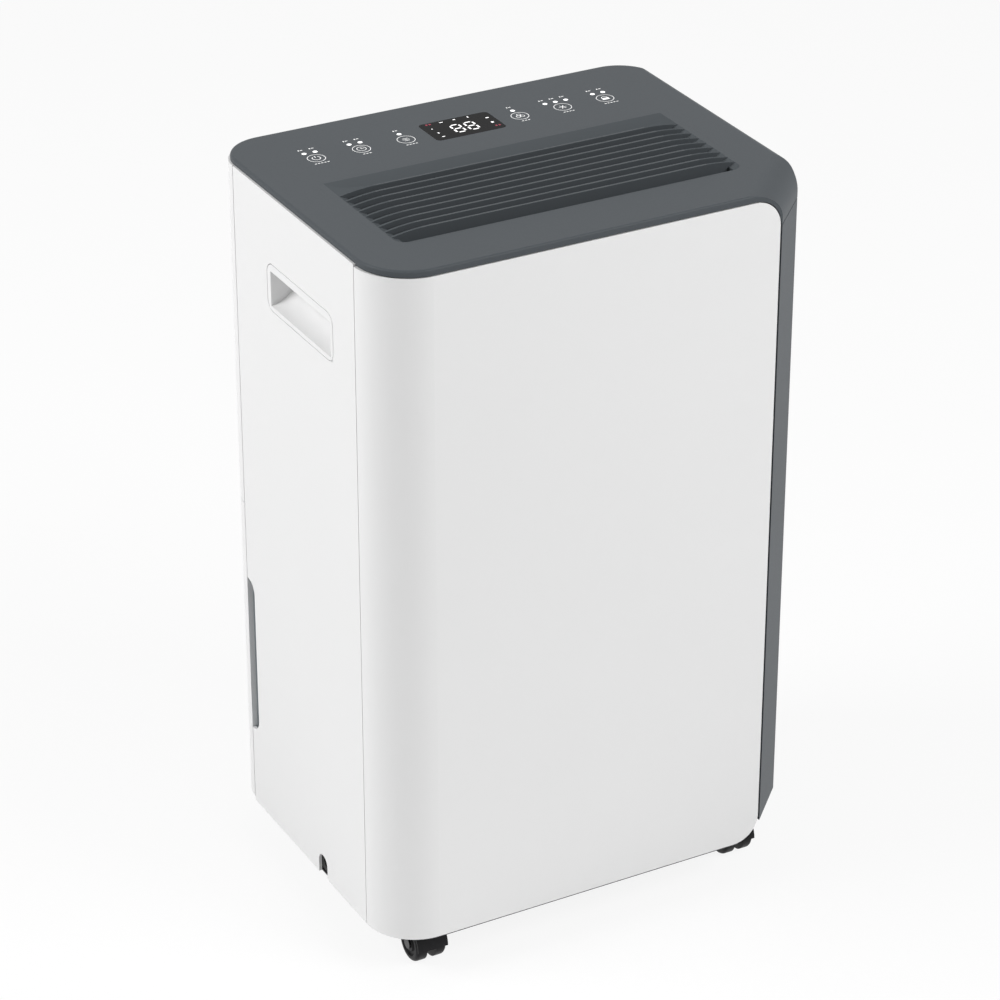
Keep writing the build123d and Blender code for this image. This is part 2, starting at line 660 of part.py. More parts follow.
def caster_fork(x, y, turn):
    """Hood, centre web and stem of one twin-wheel caster."""
    axle_y = y + turn * TRAIL
    with BuildPart() as fork:
        with BuildSketch(Plane.YZ.offset(x - WHEEL_GAP - WHEEL_T)):
            with Locations((axle_y, WHEEL_R)):
                Circle(HOOD_R)
                Circle(HOOD_R - HOOD_T, mode=Mode.SUBTRACT)
                Rectangle(2 * HOOD_R, HOOD_R, align=(Align.CENTER, Align.MAX), mode=Mode.SUBTRACT)
        extrude(amount=2 * (WHEEL_GAP + WHEEL_T))
        with BuildSketch(Plane.YZ.offset(x - WEB_HALF)):
            with Locations((axle_y, WHEEL_R)):
                Circle(HOOD_R)
                Rectangle(2 * HOOD_R, HOOD_R, align=(Align.CENTER, Align.MAX), mode=Mode.SUBTRACT)
                Circle(WEB_HUB_R)
        extrude(amount=2 * WEB_HALF)
        bar((x, y, CASTER_H - HOOD_T), (0, 0, 1), STEM_COLLAR_R, HOOD_T)
        bar((x, y, CASTER_H - 2 * HOOD_T), (0, 0, 1), STEM_R, STEM_TOP - CASTER_H + 2 * HOOD_T)
        bar((x - SIDE, axle_y, WHEEL_R), (1, 0, 0), AXLE_R + RUNNING / 2, WIDTH, Mode.SUBTRACT)
    return fork.part


def caster_axle(x, axle_y):
    """Axle pin with a flat head at each end."""
    half = WHEEL_GAP + WHEEL_T + FIT
    with BuildPart() as axle:
        bar((x - half, axle_y, WHEEL_R), (1, 0, 0), AXLE_R, 2 * half)
        for side in (-1, 1):
            bar((x + side * half, axle_y, WHEEL_R), (side, 0, 0), AXLE_HEAD_R, AXLE_HEAD_T)
    return axle.part


def caster_wheel(x, axle_y, side):
    """One wheel, with a dished outer face and a rounded shoulder."""
    inner = x + side * WHEEL_GAP
    outer = inner + side * WHEEL_T
    bore = AXLE_R + RUNNING
    rim = WHEEL_R - WHEEL_ROUND
    dish = outer - side * WHEEL_DISH
    with BuildPart() as wheel:
        with BuildSketch(Plane((0, axle_y, WHEEL_R))):
            with BuildLine():
                tread = Line((inner, WHEEL_R), (outer - side * WHEEL_ROUND, WHEEL_R))
                shoulder = TangentArc(tread @ 1, (outer, rim), tangent=(side, 0))
                Polyline(shoulder @ 1, (outer, rim - WHEEL_RIM), (dish, rim - WHEEL_RIM - WHEEL_SLOPE),
                         (dish, WHEEL_HUB_R + WHEEL_SLOPE), (outer, WHEEL_HUB_R), (outer, bore),
                         (inner, bore), tread @ 0)
            make_face()
        revolve(axis=Axis((0, axle_y, WHEEL_R), (1, 0, 0)))
    return wheel.part


pieces = {}
for name, x, y, turn in CASTERS:
    axle_y = y + turn * TRAIL
    pieces["caster_" + name + "_fork"] = caster_fork(x, y, turn)
    pieces["caster_" + name + "_axle"] = caster_axle(x, axle_y)
    pieces["caster_" + name + "_wheel_left"] = caster_wheel(x, axle_y, -1)
    pieces["caster_" + name + "_wheel_right"] = caster_wheel(x, axle_y, 1)

# Middle frame: a shelf over the tank bay, carried by the partition in front of it
with BuildPart() as mid_frame:
    extrude(casing_plan(FRAME_Z, WALL + FIT), amount=FRAME_T)
    block(BASE_LEFT + RIM_T, BASE_RIGHT - RIM_T, PARTITION_Y, PARTITION_Y + FRAME_T, BASE_FLOOR, FRAME_Z)
    for x in SCREW_XS:
        tab_y = BACK - WALL - FIT
        block(x - TAB_W / 2, x + TAB_W / 2, tab_y - FRAME_T, tab_y, FRAME_TOP, FRAME_TOP + TAB_H)
        bar((x, tab_y - FRAME_T, SCREW_Z), (0, 1, 0), SCREW_R + RUNNING, FRAME_T, Mode.SUBTRACT)
    bar((SUCTION_X, COMP_Y, FRAME_Z), (0, 0, 1), TUBE_R + SEAM, FRAME_T, Mode.SUBTRACT)
    bar((DISCHARGE_X, DISCHARGE_Y, FRAME_Z), (0, 0, 1), TUBE_R + SEAM, FRAME_T, Mode.SUBTRACT)
    bar((0, SPOUT_Y, FRAME_Z), (0, 0, 1), SPOUT_R + FIT, FRAME_T, Mode.SUBTRACT)

with BuildPart() as casing_screws:
    for x in SCREW_XS:
        head_y = BACK - WALL - FIT
        bar((x, head_y - SCREW_L, SCREW_Z), (0, 1, 0), SCREW_R, SCREW_L)
        bar((x, head_y, SCREW_Z), (0, 1, 0), SCREW_HEAD_R, WALL)

# Drip tray with the spout over the tank and the hose spigot at the back
with BuildPart() as drip_tray:
    block(-TRAY_X, TRAY_X, TRAY_FRONT_Y, TRAY_BACK_Y, FRAME_TOP, TRAY_TOP)
    block(TRAY_T - TRAY_X, TRAY_X - TRAY_T, TRAY_FRONT_Y + TRAY_T, TRAY_BACK_Y - TRAY_T,
          FRAME_TOP + TRAY_T, TRAY_TOP, Mode.SUBTRACT)
    for sign in (-1, 1):
        block(sign * RIB_X - TRAY_T, sign * RIB_X + TRAY_T, TRAY_FRONT_Y, TRAY_BACK_Y,
              FRAME_TOP, COIL_BOTTOM)
    bar((0, SPOUT_Y, SPOUT_BOTTOM), (0, 0, 1), SPOUT_R, FRAME_TOP - SPOUT_BOTTOM)
    bar((0, SPOUT_Y, SPOUT_BOTTOM), (0, 0, 1), SPOUT_BORE_R, TRAY_TOP - SPOUT_BOTTOM, Mode.SUBTRACT)
    bar((DRAIN_X, TRAY_BACK_Y - TRAY_T, DRAIN_Z), (0, 1, 0), DRAIN_R, DRAIN_END_Y - TRAY_BACK_Y + TRAY_T)
    bar((DRAIN_X, TRAY_BACK_Y - TRAY_T, DRAIN_Z), (0, 1, 0), DRAIN_BORE_R, DRAIN_END_Y - TRAY_FRONT_Y,
        Mode.SUBTRACT)


def coil_fins(y, first_z):
    """Fin block of a coil: grooves on both faces and a bore for each tube pass."""
    with BuildPart() as fins:
        block(-COIL_X, COIL_X, y - COIL_DEPTH / 2, y + COIL_DEPTH / 2, COIL_BOTTOM, COIL_TOP)
        grooves = int(2 * COIL_X / FIN_PITCH) - 1
        for face in (-1, 1):
            with GridLocations(FIN_PITCH, 1, grooves, 1):
                with Locations((0, y + face * (COIL_DEPTH - FIN_CUT) / 2, (COIL_BOTTOM + COIL_TOP) / 2)):
                    Box(FIN_GAP, FIN_CUT, COIL_TOP - COIL_BOTTOM, mode=Mode.SUBTRACT)
        for i in range(PASSES):
            z = first_z + i * TUBE_PITCH
            bar((-COIL_X, y, z), (1, 0, 0), TUBE_R + RUNNING, 2 * COIL_X, Mode.SUBTRACT)
    return fins.part


def coil_tubes(y, first_z):
    """Serpentine tube of a coil, open at its two left ends."""
    turn_x = TUBE_END_X + TUBE_PITCH / 2
    points = [(-TUBE_END_X, y, first_z)]
    for i in range(PASSES):
        side = 1 if i % 2 == 0 else -1
        z = first_z + i * TUBE_PITCH
        if i < PASSES - 1:
            points += [(side * turn_x, y, z), (side * turn_x, y, z + TUBE_PITCH)]
        else:
            points.append((side * TUBE_END_X, y, z))
    with BuildPart() as tubes:
        pipe(points, TUBE_R, TUBE_PITCH / 2 - RUNNING)
    return tubes.part


pieces["condenser_fins"] = coil_fins(CONDENSER_Y, CONDENSER_Z)
pieces["condenser_tubes"] = coil_tubes(CONDENSER_Y, CONDENSER_Z)
pieces["evaporator_fins"] = coil_fins(EVAPORATOR_Y, EVAPORATOR_Z)
pieces["evaporator_tubes"] = coil_tubes(EVAPORATOR_Y, EVAPORATOR_Z)

# Refrigerant pipes between the compressor and the coils
last_pass = (PASSES - 1) * TUBE_PITCH

with BuildPart() as suction_pipe:
    high = EVAPORATOR_Z + last_pass
    pipe([(STUB_X, COMP_Y, STUB_TOP), (STUB_X, COMP_Y, JOG_Z), (SUCTION_X, COMP_Y, JOG_Z),
          (SUCTION_X, COMP_Y, high), (SUCTION_X, EVAPORATOR_Y, high),
          (-TUBE_END_X, EVAPORATOR_Y, high)], TUBE_R, PIPE_BEND_R)

with BuildPart() as discharge_pipe:
    high = CONDENSER_Z + last_pass
    pipe([(COMP_X, DISCHARGE_Y, STUB_TOP), (COMP_X, DISCHARGE_Y, JOG_Z), (DISCHARGE_X, DISCHARGE_Y, JOG_Z),
          (DISCHARGE_X, DISCHARGE_Y, high), (DISCHARGE_X, CONDENSER_Y, high),
          (-TUBE_END_X, CONDENSER_Y, high)], TUBE_R, PIPE_BEND_R)

with BuildPart() as filter_drier:
    bar((DRIER_END_X, CONDENSER_Y, CONDENSER_Z), (1, 0, 0), DRIER_R, -TUBE_END_X - DRIER_END_X)
    chamfer(filter_drier.edges().filter_by(GeomType.CIRCLE), DRIER_TAPER)

with BuildPart() as capillary_tube:
    out = DRIER_END_X - PIPE_BEND_R
    pipe([(DRIER_END_X, CONDENSER_Y, CONDENSER_Z), (out, CONDENSER_Y, CONDENSER_Z),
          (out, EVAPORATOR_Y, CONDENSER_Z), (out, EVAPORATOR_Y, EVAPORATOR_Z),
          (-TUBE_END_X, EVAPORATOR_Y, EVAPORATOR_Z)], CAPILLARY_R, CAPILLARY_BEND_R)


def scroll_view(y, inset, top):
    """Front view of the fan housing: a round bottom and an open duct up to the louvres."""
    with BuildSketch(Plane.XZ.offset(-y)) as view:
        with Locations((0, FAN_Z)):
            Circle(SCROLL_R - inset)
            Rectangle(2 * (SCROLL_R - inset), top - FAN_Z, align=(Align.CENTER, Align.MIN))
    return view.sketch


# Fan
with BuildPart() as fan_scroll:
    extrude(scroll_view(SCROLL_BACK_Y, 0, SCROLL_TOP), amount=SCROLL_BACK_Y - SCROLL_FRONT_Y)
    for sign in (-1, 1):
        x = sign * SCROLL_FOOT_X
        block(x - SCROLL_FOOT_T / 2, x + SCROLL_FOOT_T / 2, SCROLL_FRONT_Y, SCROLL_BACK_Y, FRAME_TOP,
              FAN_Z - SCROLL_FOOT_X)
    extrude(scroll_view(SCROLL_BACK_Y, WALL, TOP), amount=SCROLL_BACK_Y - SCROLL_FRONT_Y - WALL,
            mode=Mode.SUBTRACT)
    bar((0, SCROLL_FRONT_Y, FAN_Z), (0, 1, 0), SHAFT_HOLE_R, WALL, Mode.SUBTRACT)

with BuildPart() as scroll_cover:
    extrude(scroll_view(SCROLL_BACK_Y + WALL, 0, SCROLL_TOP), amount=WALL)
    bar((0, SCROLL_BACK_Y, FAN_Z), (0, 1, 0), INLET_R + INLET_LIP, INLET_COLLAR)
    bar((0, SCROLL_BACK_Y, FAN_Z), (0, 1, 0), INLET_R, INLET_COLLAR, Mode.SUBTRACT)

with BuildPart() as fan_motor:
    bar((0, MOTOR_FRONT_Y, FAN_Z), (0, 1, 0), MOTOR_R, SCROLL_FRONT_Y - MOTOR_FRONT_Y)
    chamfer(fan_motor.edges().group_by(Axis.Y)[0], MOTOR_BEVEL)
    bar((0, MOTOR_FRONT_Y + MOTOR_WALL, FAN_Z), (0, 1, 0), SHAFT_R + RUNNING, DEPTH, Mode.SUBTRACT)

with BuildPart() as motor_shaft:
    start_y = MOTOR_FRONT_Y + MOTOR_WALL + SHAFT_END
    bar((0, start_y, FAN_Z), (0, 1, 0), SHAFT_R, SCROLL_BACK_Y - SHAFT_BACK_GAP - start_y)

with BuildPart() as fan_impeller:
    disc_y = SCROLL_FRONT_Y + IMPELLER_FRONT_GAP
    ring_y = SCROLL_BACK_Y - IMPELLER_BACK_GAP
    bar((0, disc_y, FAN_Z), (0, 1, 0), IMPELLER_R, IMPELLER_T)
    bar((0, disc_y, FAN_Z), (0, 1, 0), HUB_R, HUB_L)
    bar((0, ring_y, FAN_Z), (0, 1, 0), IMPELLER_R, IMPELLER_T)
    bar((0, ring_y, FAN_Z), (0, 1, 0), INLET_R, IMPELLER_T, Mode.SUBTRACT)
    with Locations(Plane((0, (disc_y + ring_y) / 2, FAN_Z), z_dir=(0, 1, 0))):
        with PolarLocations((IMPELLER_R + INLET_R) / 2 - BLADE_SINK, IMPELLER_BLADES):
            Box(IMPELLER_BAND, IMPELLER_T, ring_y - disc_y + IMPELLER_T, rotation=(0, 0, BLADE_ANGLE))
    bar((0, disc_y, FAN_Z), (0, 1, 0), SHAFT_R + RUNNING / 2, DEPTH, Mode.SUBTRACT)

# Compressor on rubber feet
with BuildPart() as compressor:
    bar((COMP_X, COMP_Y, COMP_FOOT_Z + COMP_FLANGE), (0, 0, 1), COMP_R, COMP_H)
    fillet(compressor.edges().group_by(Axis.Z)[-1], COMP_DOME_R)
    bar((COMP_X, COMP_Y, COMP_FOOT_Z), (0, 0, 1), COMP_R + COMP_FLANGE, COMP_FLANGE)
    for x, y in ((STUB_X, COMP_Y), (COMP_X, DISCHARGE_Y)):
        bar((x, y, COMP_TOP - STUB_SINK), (0, 0, 1), STUB_R, STUB_H + STUB_SINK)

with BuildPart() as compressor_feet:
    with Locations((COMP_X, COMP_Y, (BASE_FLOOR + COMP_FOOT_Z) / 2)):
        with PolarLocations(FEET_R, 3, 90):
            Cylinder(FOOT_R, COMP_FOOT_H)

# Electronics
with BuildPart() as electronics_box:
    block(BOX_X0, BOX_X1, BOX_Y0, BOX_Y1, BASE_FLOOR, BOX_TOP)
    block(BOX_X0 + BOX_T, BOX_X1 - BOX_T, BOX_Y0 + BOX_T, BOX_Y1 - BOX_T, BASE_FLOOR + BOX_T, BOX_TOP,
          Mode.SUBTRACT)
    with Locations(((BOX_X0 + BOX_X1) / 2, (BOX_Y0 + BOX_Y1) / 2, BASE_FLOOR + BOX_T + POST_H / 2)):
        with GridLocations(BOX_W - 2 * POST_IN, BOX_D - 2 * POST_IN, 2, 2):
            Cylinder(POST_R, POST_H)

with BuildPart() as electronics_lid:
    block(BOX_X0, BOX_X1, BOX_Y0, BOX_Y1, BOX_TOP, BOX_TOP + BOX_T)

with BuildPart() as power_board:
    board_z = BASE_FLOOR + BOX_T + POST_H
    block(BOX_X0 + POWER_IN, BOX_X1 - POWER_IN, BOX_Y0 + POWER_IN, BOX_Y1 - POWER_IN, board_z,
          board_z + BOARD_T)
    part_y = BOX_Y0 + PART_FRONT
    for x in (BOX_X0 + PART_IN, BOX_X1 - PART_IN):
        block(x - PART_W / 2, x + PART_W / 2, part_y, part_y + PART_D, board_z, board_z + PART_H)

with BuildPart() as run_capacitor:
    bar((CAP_X, COMP_Y, BASE_FLOOR), (0, 0, 1), CAP_R, CAP_H)
    chamfer(run_capacitor.edges().group_by(Axis.Z)[-1], CAP_BEVEL)

with BuildPart() as tank_switch:
    switch_y = TANK_FRONT_Y + SWITCH_FROM_TANK
    block(SWITCH_X - SWITCH_W / 2, SWITCH_X + SWITCH_W / 2, switch_y, switch_y + SWITCH_D,
          FRAME_Z - SWITCH_H, FRAME_Z)
    bar((SWITCH_X, switch_y + SWITCH_D / 2, FRAME_Z - SWITCH_H), (0, 0, -1), SWITCH_PIN_R, SWITCH_PIN_H)

with BuildPart() as cord_gland:
    block(GLAND_X0, GLAND_X1, ARCH_Y - ARCH_W / 2, ARCH_Y + ARCH_W / 2, BASE_FLOOR, ARCH_TOP)
    bar((-SIDE, ARCH_Y, (BASE_FLOOR + ARCH_TOP) / 2), (1, 0, 0), GLAND_BORE_R, SIDE, Mode.SUBTRACT)


def tank_plan(z, inset, front):
    """Plan of the tank: the casing drawn in, and cut flat at its front."""
    with BuildSketch(Plane.XY.offset(z)) as plan:
        add(casing_plan(0, inset))
        with Locations((0, front)):
            Rectangle(WIDTH, DEPTH, align=(Align.CENTER, Align.MIN), mode=Mode.INTERSECT)
    return plan.sketch


# Water tank
with BuildPart() as tank_body:
    extrude(tank_plan(TANK_BOTTOM, TANK_INSET, TANK_FRONT_Y), amount=TANK_TOP - TANK_BOTTOM)
    extrude(tank_plan(TANK_BOTTOM + TANK_T, TANK_INSET + TANK_T, TANK_FRONT_Y + TANK_T),
            amount=TANK_TOP - TANK_BOTTOM, mode=Mode.SUBTRACT)
    for sign in (-1, 1):
        inner = SIDE - TANK_INSET - GRIP_DEPTH
        x0, x1 = sorted((sign * (inner - TANK_T), sign * (SIDE - TANK_INSET - TANK_T / 2)))
        block(x0, x1, GRIP_Y - TANK_T, REAR_SEAM_Y + TANK_T, NOTCH_LOW - 2 * TANK_T, TANK_TOP)
        x0, x1 = sorted((sign * inner, sign * SIDE))
        block(x0, x1, GRIP_Y, REAR_SEAM_Y, NOTCH_LOW - TANK_T, TANK_TOP, Mode.SUBTRACT)

with BuildPart() as tank_face:
    casing_wall(TANK_FACE_LOW, TANK_SEAM_Z - SEAM / 2, TANK_WRAP)
    block(-SIDE, SIDE, REAR_SEAM_Y + SEAM / 2, BACK, TANK_FACE_LOW, TANK_SEAM_Z, Mode.INTERSECT)

with BuildPart() as tank_lid:
    extrude(tank_plan(TANK_TOP + RUNNING, TANK_INSET + FIT, TANK_FRONT_Y + FIT), amount=LID_TOP - TANK_TOP)
    with Locations((0, SPOUT_Y, TANK_TOP)):
        Box(LID_MOUTH_W, LID_MOUTH_D, 4 * LID_T, mode=Mode.SUBTRACT)
    for sign in (-1, 1):
        x0, x1 = sorted((sign * (HANDLE_X + HANDLE_R + SEAM), sign * (HANDLE_X + HANDLE_R + SEAM + LUG)))
        block(x0, x1, HANDLE_Y - LUG, HANDLE_Y + LUG, TANK_TOP + RUNNING, HANDLE_Z + LUG)
        bar((x0, HANDLE_Y, HANDLE_Z), (1, 0, 0), PIN_R + RUNNING, LUG, Mode.SUBTRACT)
        x = FLOAT_X + sign * FLOAT_LUG_X - FLOAT_LUG_T / 2
        block(x, x + FLOAT_LUG_T, FLOAT_Y - LUG, FLOAT_Y + LUG, FLOAT_Z - LUG, TANK_TOP + RUNNING)
        bar((x, FLOAT_Y, FLOAT_Z), (1, 0, 0), FLOAT_PIN_R + RUNNING, FLOAT_LUG_T, Mode.SUBTRACT)

with BuildPart() as tank_handle:
    end_y = HANDLE_Y + HANDLE_REACH
    pipe([(-HANDLE_X, HANDLE_Y, HANDLE_Z), (-HANDLE_X, end_y, HANDLE_Z), (HANDLE_X, end_y, HANDLE_Z),
          (HANDLE_X, HANDLE_Y, HANDLE_Z)], HANDLE_R, HANDLE_BEND_R)
    for sign in (-1, 1):
        boss_x = HANDLE_X - HANDLE_BOSS_L / 2
        bar((sign * boss_x, HANDLE_Y, HANDLE_Z), (sign, 0, 0), HANDLE_BOSS_R, HANDLE_BOSS_L)
        bar((sign * HANDLE_X, HANDLE_Y, HANDLE_Z), (sign, 0, 0), PIN_R, HANDLE_R + LUG)

with BuildPart() as tank_float:
    half = FLOAT_LUG_X + FLOAT_LUG_T / 2
    front_y = FLOAT_Y + FLOAT_ARM
    top_z = FLOAT_Z - FLOAT_HANG
    bar((FLOAT_X - half, FLOAT_Y, FLOAT_Z), (1, 0, 0), FLOAT_PIN_R, 2 * half)
    block(FLOAT_X - FLOAT_PIN_R, FLOAT_X + FLOAT_PIN_R, FLOAT_Y - FLOAT_PIN_R, front_y, top_z - FLOAT_ARM,
          FLOAT_Z + FLOAT_PIN_R)
    block(FLOAT_X - FLOAT_W / 2, FLOAT_X + FLOAT_W / 2, front_y, front_y + FLOAT_D, top_z - FLOAT_H, top_z)

# Rear inlet: a slatted grille that carries the dust filter
with BuildPart() as inlet_grille:
    low = INTAKE_LOW + FIT
    high = INTAKE_HIGH - FIT
    half = INTAKE_X - FIT
    border = INTAKE_BORDER
    block(-half, half, INTAKE_Y, BACK, low, high)
    block(border - half, half - border, INTAKE_Y, BACK, low + border, high - border, Mode.SUBTRACT)
    slats = int((high - low - 2 * border) / SLAT_PITCH)
    for i in range(1, slats + 1):
        z = low + border + i * (high - low - 2 * border) / (slats + 1)
        block(border - half, half - border, INTAKE_Y, BACK - SLAT_IN, z - SLAT_T / 2, z + SLAT_T / 2)
    for x in (-half / 2, 0, half / 2):
        block(x - SLAT_T / 2, x + SLAT_T / 2, INTAKE_Y, BACK - MULLION_IN, low + border, high - border)

with BuildPart() as filter_mesh:
    half = INTAKE_X - FILTER_IN
    low = INTAKE_LOW + FILTER_IN
    high = INTAKE_HIGH - FILTER_IN
    inner = half - FILTER_BORDER
    inner_low = low + FILTER_BORDER
    inner_high = high - FILTER_BORDER
    net_y = (FILTER_Y + INTAKE_Y - FILTER_NET) / 2
    block(-half, half, FILTER_Y, INTAKE_Y, low, high)
    block(-inner, inner, FILTER_Y, INTAKE_Y, inner_low, inner_high, Mode.SUBTRACT)
    block(-inner, inner, net_y, net_y + FILTER_NET, inner_low, inner_high)
    for i in range(1, FILTER_COLUMNS):
        x = 2 * half * i / FILTER_COLUMNS - half - FILTER_RIB / 2
        block(x, x + FILTER_RIB, FILTER_Y, INTAKE_Y, inner_low, inner_high)
    for i in range(1, FILTER_ROWS):
        z = low + (high - low) * i / FILTER_ROWS - FILTER_RIB / 2
        block(-inner, inner, FILTER_Y, INTAKE_Y, z, z + FILTER_RIB)

pieces.update(
    front_panel=front_panel.part,
    left_side_panel=left_side_panel.part,
    right_side_panel=right_side_panel.part,
    rear_cover=rear_cover.part,
    top_cover=top_cover.part,
    outlet_grille=outlet_grille.part,
    display_window=display_window.part,
    control_board=control_board.part,
    left_handle_cup=left_handle_cup.part,
    right_handle_cup=right_handle_cup.part,
    base_pan=base_pan.part,
    mid_frame=mid_frame.part,
    casing_screws=casing_screws.part,
    drip_tray=drip_tray.part,
    suction_pipe=suction_pipe.part,
    discharge_pipe=discharge_pipe.part,
    filter_drier=filter_drier.part,
    capillary_tube=capillary_tube.part,
    fan_scroll=fan_scroll.part,
    scroll_cover=scroll_cover.part,
    fan_motor=fan_motor.part,
    motor_shaft=motor_shaft.part,
    fan_impeller=fan_impeller.part,
    compressor=compressor.part,
    compressor_feet=compressor_feet.part,
    electronics_box=electronics_box.part,
    electronics_lid=electronics_lid.part,
    power_board=power_board.part,
    run_capacitor=run_capacitor.part,
    tank_switch=tank_switch.part,
    cord_gland=cord_gland.part,
    tank_body=tank_body.part,
    tank_face=tank_face.part,
    tank_lid=tank_lid.part,
    tank_handle=tank_handle.part,
    tank_float=tank_float.part,
    inlet_grille=inlet_grille.part,
    filter_mesh=filter_mesh.part,
)

os.makedirs("parts", exist_ok=True)
for name, piece in pieces.items():
    piece.label = name
    export_step(piece, "parts/" + name + ".step")
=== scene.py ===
import json
import math

import bpy
from mathutils import Matrix, Vector


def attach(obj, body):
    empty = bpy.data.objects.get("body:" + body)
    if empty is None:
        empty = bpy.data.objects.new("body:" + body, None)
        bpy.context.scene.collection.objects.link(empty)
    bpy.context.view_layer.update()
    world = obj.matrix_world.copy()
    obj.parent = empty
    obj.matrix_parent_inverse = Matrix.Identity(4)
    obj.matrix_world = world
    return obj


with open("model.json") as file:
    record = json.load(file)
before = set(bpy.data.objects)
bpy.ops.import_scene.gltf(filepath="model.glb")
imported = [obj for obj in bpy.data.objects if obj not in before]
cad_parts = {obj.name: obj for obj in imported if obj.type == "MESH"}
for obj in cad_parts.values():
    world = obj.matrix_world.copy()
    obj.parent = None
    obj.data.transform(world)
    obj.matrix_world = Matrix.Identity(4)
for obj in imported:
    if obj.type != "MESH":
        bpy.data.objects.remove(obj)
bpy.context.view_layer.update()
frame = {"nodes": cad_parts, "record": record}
nodes = frame["nodes"]
scene = bpy.context.scene
scene.view_settings.view_transform = "Standard"

# Edges that turn by more than this stay sharp
SHARP = math.radians(28)

# The top face and the middle of the display, from the frame
window = nodes["display_window"]
corners = [window.matrix_world @ Vector(corner) for corner in window.bound_box]
TOP = max(corner.z for corner in corners)
DISPLAY_X, DISPLAY_Y = (sum(axis) / len(corners) for axis in list(zip(*corners))[:2])


# Materials
def material(name, colour, roughness, metallic=0.0, grain=700.0, bump=0.05, shade=0.03, specular=0.5):
    """Moulded plastic, rubber or metal with fine grain and a slow drift of colour and gloss."""
    mat = bpy.data.materials.new(name)
    mat.use_nodes = True
    tree = mat.node_tree
    shader = tree.nodes["Principled BSDF"]
    shader.inputs["Metallic"].default_value = metallic
    shader.inputs["Specular IOR Level"].default_value = specular
    coords = tree.nodes.new("ShaderNodeTexCoord")
    fine = tree.nodes.new("ShaderNodeTexNoise")
    fine.inputs["Scale"].default_value = grain
    fine.inputs["Detail"].default_value = 4.0
    slow = tree.nodes.new("ShaderNodeTexNoise")
    slow.inputs["Scale"].default_value = 7.0
    slow.inputs["Detail"].default_value = 3.0
    tint = tree.nodes.new("ShaderNodeMix")
    tint.data_type = "RGBA"
    tint.inputs["A"].default_value = (*[c * (1 - shade) for c in colour], 1)
    tint.inputs["B"].default_value = (*[min(1, c * (1 + shade)) for c in colour], 1)
    gloss = tree.nodes.new("ShaderNodeMapRange")
    gloss.inputs["To Min"].default_value = max(0.02, roughness - 0.05)
    gloss.inputs["To Max"].default_value = min(1.0, roughness + 0.05)
    relief = tree.nodes.new("ShaderNodeBump")
    relief.inputs["Strength"].default_value = bump
    relief.inputs["Distance"].default_value = 0.0002
    for noise in (fine, slow):
        tree.links.new(coords.outputs["Object"], noise.inputs["Vector"])
    tree.links.new(slow.outputs["Fac"], tint.inputs["Factor"])
    tree.links.new(tint.outputs["Result"], shader.inputs["Base Color"])
    tree.links.new(fine.outputs["Fac"], gloss.inputs["Value"])
    tree.links.new(gloss.outputs["Result"], shader.inputs["Roughness"])
    tree.links.new(fine.outputs["Fac"], relief.inputs["Height"])
    tree.links.new(relief.outputs["Normal"], shader.inputs["Normal"])
    return mat


def lit(name, colour, strength):
    """Marks that give off light: back-lit figures and lamps, and printed marks with a painted glow so they
    stay readable on the dark top.
    """
    mat = material(name, colour, 0.5, grain=300)
    shader = mat.node_tree.nodes["Principled BSDF"]
    shader.inputs["Emission Color"].default_value = (*colour, 1)
    shader.inputs["Emission Strength"].default_value = strength
    return mat


WHITE = material("white_shell", (0.80, 0.80, 0.80), 0.42, shade=0.01)
GREY = material("grey_shell", (0.076, 0.085, 0.093), 0.45, bump=0.08, specular=0.1)
# Painted shade: a dull, reflection-free grey for the louvre plate's sloping faces, so they read darker, as
# if turned away from the light
SLOPE_SHADE_GREY = material("grey_slope_painted_shade", (0.094, 0.104, 0.112), 0.6, bump=0.08, specular=0.0)
DARK = material("dark_plastic", (0.022, 0.023, 0.025), 0.5)
GLASS = material("display_glass", (0.008, 0.008, 0.0085), 0.22, grain=60, bump=0.02, specular=0.03)
BOARD = material("board_green", (0.03, 0.16, 0.07), 0.45)
CHASSIS = material("chassis_grey", (0.05, 0.052, 0.055), 0.6)
TANK = material("tank_plastic", (0.50, 0.55, 0.58), 0.3)
FINS = material("fin_aluminium", (0.75, 0.76, 0.78), 0.35, metallic=1.0, grain=250)
COPPER = material("copper_tube", (0.70, 0.36, 0.22), 0.32, metallic=1.0, grain=120, shade=0.12)
PAINT = material("compressor_paint", (0.012, 0.012, 0.013), 0.28, grain=180, bump=0.12)
STEEL = material("plain_steel", (0.55, 0.56, 0.57), 0.35, metallic=1.0, grain=400)
RUBBER = material("rubber", (0.018, 0.018, 0.018), 0.8, grain=500, bump=0.12)
CASTER = material("caster_nylon", (0.010, 0.010, 0.011), 0.42, specular=0.15)
FOAM = material("float_foam", (0.72, 0.71, 0.67), 0.9, grain=350, bump=0.3)
# Painted glow: the printed marks give off a little light of their own so they stay readable on the dark top
PRINT_GLOW = lit("white_print_painted_glow", (0.90, 0.90, 0.90), 0.35)
GLOW = lit("white_glow", (0.95, 0.95, 0.95), 0.8)
EMBER = lit("dim_red", (0.30, 0.02, 0.05), 0.15)

BY_SLOT = {
    "white_plastic": WHITE, "grey_plastic": GREY, "dark_plastic": DARK, "display_black": GLASS,
    "board_green": BOARD, "chassis_grey": CHASSIS, "tank_plastic": TANK, "fin_aluminium": FINS,
    "copper_tube": COPPER, "steel_black": PAINT, "motor_steel": STEEL, "rubber_black": RUBBER,
    "caster_black": CASTER, "float_foam": FOAM,
}
for entry in frame["record"]["subparts"]:
    mesh = nodes[entry["node"]].data
    mesh.materials.clear()
    mesh.materials.append(BY_SLOT[entry["material_slot"]])
    mesh.polygons.foreach_set("use_smooth", [True] * len(mesh.polygons))
    mesh.set_sharp_from_angle(angle=SHARP)
